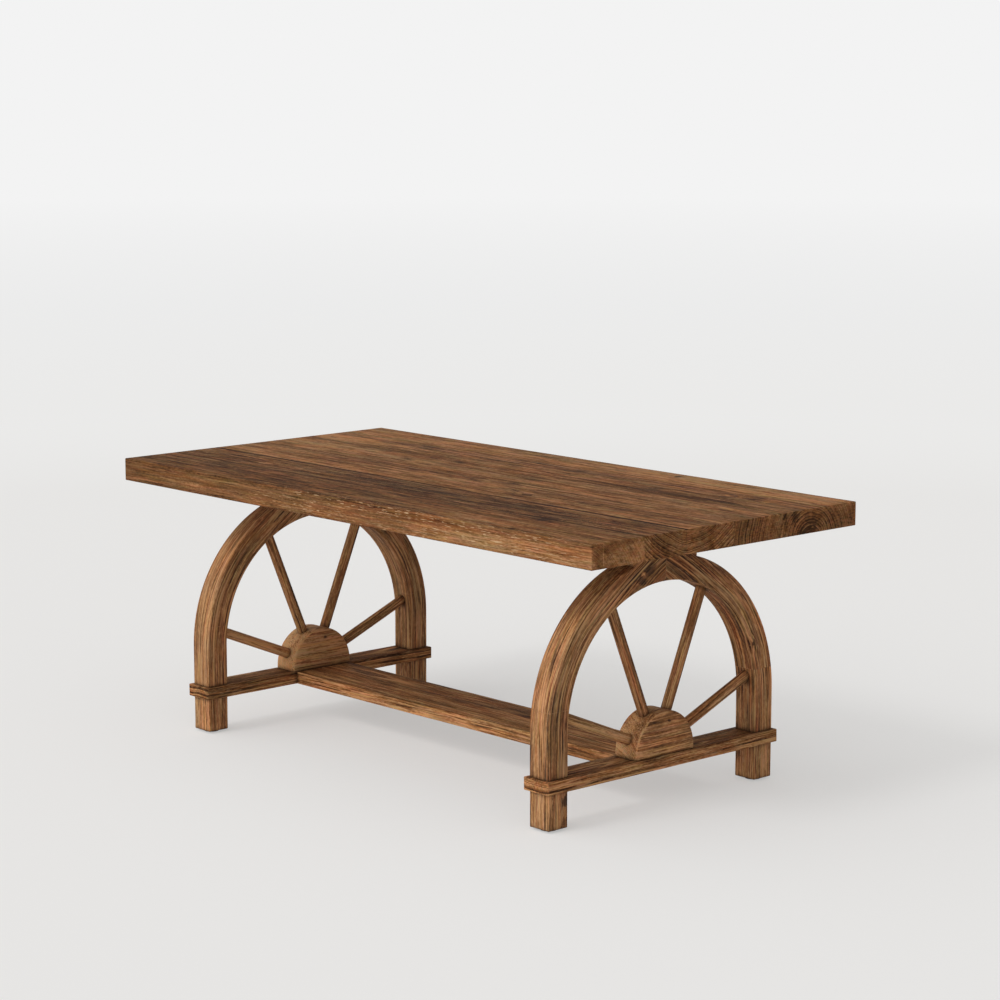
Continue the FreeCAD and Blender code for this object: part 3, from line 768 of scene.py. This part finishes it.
# Painted highlight on the rounded arris, where it looks up and towards the front right.
painted_highlight_arris = ((0.72, -0.55, 0.42), 0.88, -0.55)

bpy.ops.object.select_all(action="DESELECT")
hub_centre = (right_end, 0.0, hub_centre_height)
bpy.ops.mesh.primitive_cylinder_add(vertices=hub_facets, radius=hub_radius, depth=hub_depth,
                                    location=hub_centre, rotation=(0.0, math.pi / 2, 0.0))
hub = bpy.context.object
hub.name = "rounded_hub_right"
bpy.ops.object.transform_apply(location=True, rotation=True, scale=True)
bpy.ops.object.mode_set(mode="EDIT")
bpy.ops.mesh.select_all(action="SELECT")
bpy.ops.mesh.bisect(plane_co=hub_centre, plane_no=upright, use_fill=True, clear_inner=True)
bpy.ops.mesh.extrude_region_move(TRANSFORM_OT_translate={"value": (0.0, 0.0, -hub_skirt)})
bpy.ops.mesh.select_all(action="SELECT")
bpy.ops.mesh.dissolve_limited(angle_limit=math.radians(1))
underside = hub_centre_height - hub_skirt
select_edges(hub, lambda first, second: abs(first.x - second.x) < touching
             and max(first.z, second.z) > underside + touching)
bpy.ops.mesh.bevel(offset=hub_arris, segments=4, affect="EDGES")
bpy.ops.mesh.select_all(action="SELECT")
bpy.ops.mesh.normals_make_consistent(inside=False)
bpy.ops.object.mode_set(mode="OBJECT")
bpy.ops.object.shade_smooth_by_angle(angle=smooth_angle)


def copy_piece(piece, name, move):
    """Another of the same piece, with a mesh of its own in its own place."""
    bpy.ops.object.select_all(action="DESELECT")
    copied = piece.copy()
    copied.data = piece.data.copy()
    copied.name = name
    bpy.context.scene.collection.objects.link(copied)
    copied.select_set(True)
    bpy.context.view_layer.objects.active = copied
    copied.location = move
    bpy.ops.object.transform_apply(location=True, rotation=True, scale=True)
    return copied


left_hub = copy_piece(hub, "rounded_hub_left", (left_end - right_end, 0.0, 0.0))
for piece, (end, end_x) in zip((hub, left_hub), ends):
    seed += 1.0
    material = wood("hub_wood_" + end, (end_x - 0.05, 0.0, 0.03), along_y, frame_tones,
                    (((end_x + 0.025, 0.008, 0.140), 0.0028, (1.0, 0.6, 1.0)),),
                    (((end_x, -0.064, 0.115), (0.05, 0.018, 0.05), -0.22),), worn=0.0035,
                    turned=painted_highlight_arris, seed=seed, ring_width=0.0045, ring_contrast=0.4, grain_contrast=1.0,
                    streaks=0.3, redness=0.4, flecks=0.2, darkness=hub_darkness[end])
    piece.data.materials.append(material)
    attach(piece, "root")
    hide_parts("hub_" + end)

# Spokes
# Round bars planed from straight-grained stock and glued into hub and rim. The steep ones have painted shade
# on the side that faces away from the light.
spoke_darkness = (-0.06, -0.14, -0.02, -0.38)
steep_spokes = (1, 2)
# Painted shade on the faces that look away from the light.
painted_shade_side = ((0.67, 0.74, 0.0), 0.6, 0.6)
for end, end_x in ends:
    for number in range(4):
        seed += 1.0
        angle = math.radians(22.5 + 45 * number)
        grain = (0.0, math.cos(angle), math.sin(angle))
        spoke = end + "_" + str(number + 1)
        material = wood("spoke_wood_" + spoke, (end_x + 0.03, 0.0, 0.10), grain, frame_tones,
                        turned=painted_shade_side if number in steep_spokes else None, seed=seed, ring_width=0.005,
                        ring_contrast=0.5, grain_contrast=1.1, streaks=0.25, redness=0.5, flecks=0.15,
                        darkness=spoke_darkness[number])
        paint("spoke_" + spoke, material)

# Stretcher
# A flat board let into both rails, with eased long arrises, and painted shade along its top.
stretcher_arris = 0.0015
stretcher_wear = 0.0006
stretcher_cuts = 30
stretcher_seed = 60.0
low, high = (Vector(corner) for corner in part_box("stretcher"))
low.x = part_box("rail_left")[1].x
high.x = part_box("rail_right")[0].x
stretcher = start_block("worn_stretcher", low, high)
select_edges(stretcher, lambda first, second: abs(first.x - second.x) > long_edge)
bpy.ops.mesh.bevel(offset=stretcher_arris, segments=3, affect="EDGES")
cut_across(low, high, 0, stretcher_cuts)
wear(stretcher, stretcher_wear)
# Painted shade along its top, which lies under the table top.
material = wood("stretcher_wood", (0.0, 0.03, 0.02), along_x, frame_tones,
                tone_patches=(((0.0, 0.0, high.z), (1.0, 0.1, 0.004), 0.22),), shine=0.02, seed=stretcher_seed,
                ring_width=0.006, ring_contrast=0.6, grain_contrast=1.3, darkness=-0.07, streaks=0.8,
                redness=0.45, flecks=0.4, ridges=1.0)
stretcher.data.materials.append(material)
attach(stretcher, "root")
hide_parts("stretcher")

# Tongues, loose tenons and screws
# Bare beech in the glued joints, and flanged steel screws up in the crown. All are out of sight.
tenon_tones = ((0.62, 0.46, 0.29), (0.5, 0.34, 0.2), (0.3, 0.19, 0.1))
for node_name, grain in (("top_tongues", along_x), ("felloe_tenons", upright), ("crown_tenons", along_y)):
    seed += 1.0
    material = wood(node_name + "_wood", (0.0, 0.4, 0.9), grain, tenon_tones, seed=seed, streaks=0.1,
                    redness=0.1, flecks=0.0)
    paint(node_name, material)


def mottled(name, fineness, dark, light, smoothest, roughest, metallic=0.0, bumps=0.0):
    """A plain material that fine noise mottles a little."""
    material = bpy.data.materials.new(name)
    material.use_nodes = True
    tree = material.node_tree
    shader = tree.nodes["Principled BSDF"]
    shader.inputs["Metallic"].default_value = metallic
    place = add(tree, "ShaderNodeTexCoord").outputs["Object"]
    noise = add(tree, "ShaderNodeTexNoise", {"Vector": place}, Scale=fineness, Detail=3.0).outputs["Fac"]
    tree.links.new(blend(tree, noise, (*dark, 1.0), (*light, 1.0)), shader.inputs["Base Color"])
    tree.links.new(spread(tree, noise, 0.2, 0.8, smoothest, roughest), shader.inputs["Roughness"])
    if bumps:
        bump = add(tree, "ShaderNodeBump", {"Height": noise}, Strength=bumps, Distance=0.0004)
        tree.links.new(bump.outputs[0], shader.inputs["Normal"])
    return material


paint("crown_screws", mottled("plated_steel", 400.0, (0.5, 0.49, 0.46), (0.66, 0.65, 0.62), 0.28, 0.48,
                              metallic=1.0))

# Glides
# Thin round pads of dark felt-faced plastic, glued under the feet. One is turned with an eased rim and the
# other three copied from it.
glide_width = 0.027
glide_thickness = 0.003
glide_rim = 0.0009
glide_out = 0.2355
glide_facets = 48

pad_plastic = mottled("pad_plastic", 900.0, (0.015, 0.014, 0.013), (0.04, 0.037, 0.033), 0.7, 0.9, bumps=0.4)
bpy.ops.object.select_all(action="DESELECT")
bpy.ops.mesh.primitive_cylinder_add(vertices=glide_facets, radius=glide_width / 2, depth=glide_thickness,
                                    location=(right_end, -glide_out, glide_thickness / 2))
glide = bpy.context.object
glide.name = "glide_right_front"
bpy.ops.object.transform_apply(location=True, rotation=True, scale=True)
bpy.ops.object.mode_set(mode="EDIT")
select_edges(glide, lambda first, second: max(first.z, second.z) < touching)
bpy.ops.mesh.bevel(offset=glide_rim, segments=3, affect="EDGES")
bpy.ops.object.mode_set(mode="OBJECT")
bpy.ops.object.shade_smooth_by_angle(angle=smooth_angle)
glide.data.materials.append(pad_plastic)
to_left, to_back = left_end - right_end, 2 * glide_out
glides = [glide, copy_piece(glide, "glide_right_back", (0.0, to_back, 0.0)),
          copy_piece(glide, "glide_left_front", (to_left, 0.0, 0.0)),
          copy_piece(glide, "glide_left_back", (to_left, to_back, 0.0))]
for piece in glides:
    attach(piece, "root")
    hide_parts("glides")

# Floor
# A plain pale floor, which pales evenly into the background far behind the table. It catches shadows near
# the table, and further off it shows a haze of its own.
floor_radius = 400.0
haze_reach = 20.0
haze_starts, haze_full = 1.6, 4.5
haze_underfoot = 0.5


def seen_straight(tree):
    """One for what the eye or a reflection sees, and nothing for the light that falls on other things."""
    rays = add(tree, "ShaderNodeLightPath")
    seen = maths(tree, "MAXIMUM", rays.outputs["Is Camera Ray"], rays.outputs["Is Glossy Ray"])
    return maths(tree, "MAXIMUM", seen, rays.outputs["Is Transmission Ray"])


bpy.ops.object.select_all(action="DESELECT")
bpy.ops.mesh.primitive_circle_add(vertices=96, radius=floor_radius, fill_type="NGON")
floor = bpy.context.object
floor.name = "floor"
floor_material = bpy.data.materials.new("pale_floor")
floor_material.use_nodes = True
tree = floor_material.node_tree
tree.nodes.clear()
place = add(tree, "ShaderNodeTexCoord").outputs["Object"]
far_off = vector_maths(tree, "LENGTH", place)
near_floor = add(tree, "ShaderNodeBsdfDiffuse", Color=(0.90, 0.893, 0.884, 1.0))
haze = add(tree, "ShaderNodeValToRGB", {"Fac": maths(tree, "DIVIDE", far_off, haze_reach)})
steps = haze.color_ramp.elements
steps[0].position, steps[0].color = 0.25, (0.826, 0.822, 0.813, 1.0)
steps[1].position, steps[1].color = 0.85, (0.896, 0.896, 0.896, 1.0)
middle = steps.new(0.42)
middle.color = (0.836, 0.836, 0.834, 1.0)
far_floor = add(tree, "ShaderNodeEmission", {"Color": haze.outputs["Color"]})
seen = seen_straight(tree)
paled = times(tree, seen, spread(tree, far_off, haze_starts, haze_full))
paled = maths(tree, "MAXIMUM", paled, times(tree, seen, haze_underfoot))
mixed = add(tree, "ShaderNodeMixShader", {0: paled, 1: near_floor.outputs[0], 2: far_floor.outputs[0]})
add(tree, "ShaderNodeOutputMaterial", {"Surface": mixed.outputs[0]})
floor.data.materials.append(floor_material)

# Light
# A pale surround that is brighter on the long front side, a soft key from the front, and a low wide fill.
surround_strength = 0.66
key_strength, key_softness = 0.62, 16
fill_strength, fill_softness = 0.66, 60
world = bpy.data.worlds.new("surround")
bpy.context.scene.world = world
world.use_nodes = True
tree = world.node_tree
tree.nodes.clear()
seen = seen_straight(tree)
direction = add(tree, "ShaderNodeTexCoord").outputs["Generated"]
front_glow = vector_maths(tree, "DOT_PRODUCT", direction, (-0.12, -0.52, 0.0))
lit = add(tree, "ShaderNodeBackground", {"Strength": maths(tree, "ADD", front_glow, surround_strength)},
          Color=(1.0, 0.99, 0.975, 1.0))
shown = add(tree, "ShaderNodeBackground", Color=(0.896, 0.896, 0.896, 1.0), Strength=1.0)
mixed = add(tree, "ShaderNodeMixShader", {0: seen, 1: lit.outputs[0], 2: shown.outputs[0]})
add(tree, "ShaderNodeOutputWorld", {"Surface": mixed.outputs[0]})


def add_sun(name, towards, strength, softness):
    data = bpy.data.lights.new(name, "SUN")
    data.energy = strength
    data.angle = math.radians(softness)
    lamp = bpy.data.objects.new(name, data)
    bpy.context.scene.collection.objects.link(lamp)
    lamp.rotation_euler = Vector(towards).to_track_quat("Z", "Y").to_euler()


add_sun("key", (-0.15, -1.0, 0.98), key_strength, key_softness)
add_sun("fill", (-0.30, -1.0, 0.23), fill_strength, fill_softness)

# Camera
# A long lens from the front right, a little above the top. The tilt is down from level, and the heading is
# turned from the length of the table.
camera_tilt = 9.236
camera_heading = 137.618
camera_data = bpy.data.cameras.new("camera")
camera_data.sensor_width = 36.0
camera_data.lens = 103.37
camera = bpy.data.objects.new("camera", camera_data)
bpy.context.scene.collection.objects.link(camera)
camera.location = (3.6132, -3.2344, 1.2334)
camera.rotation_euler = (math.radians(90 - camera_tilt), 0.0, math.radians(camera_heading - 90))
bpy.context.scene.camera = camera
bpy.context.scene.view_settings.view_transform = "Standard"
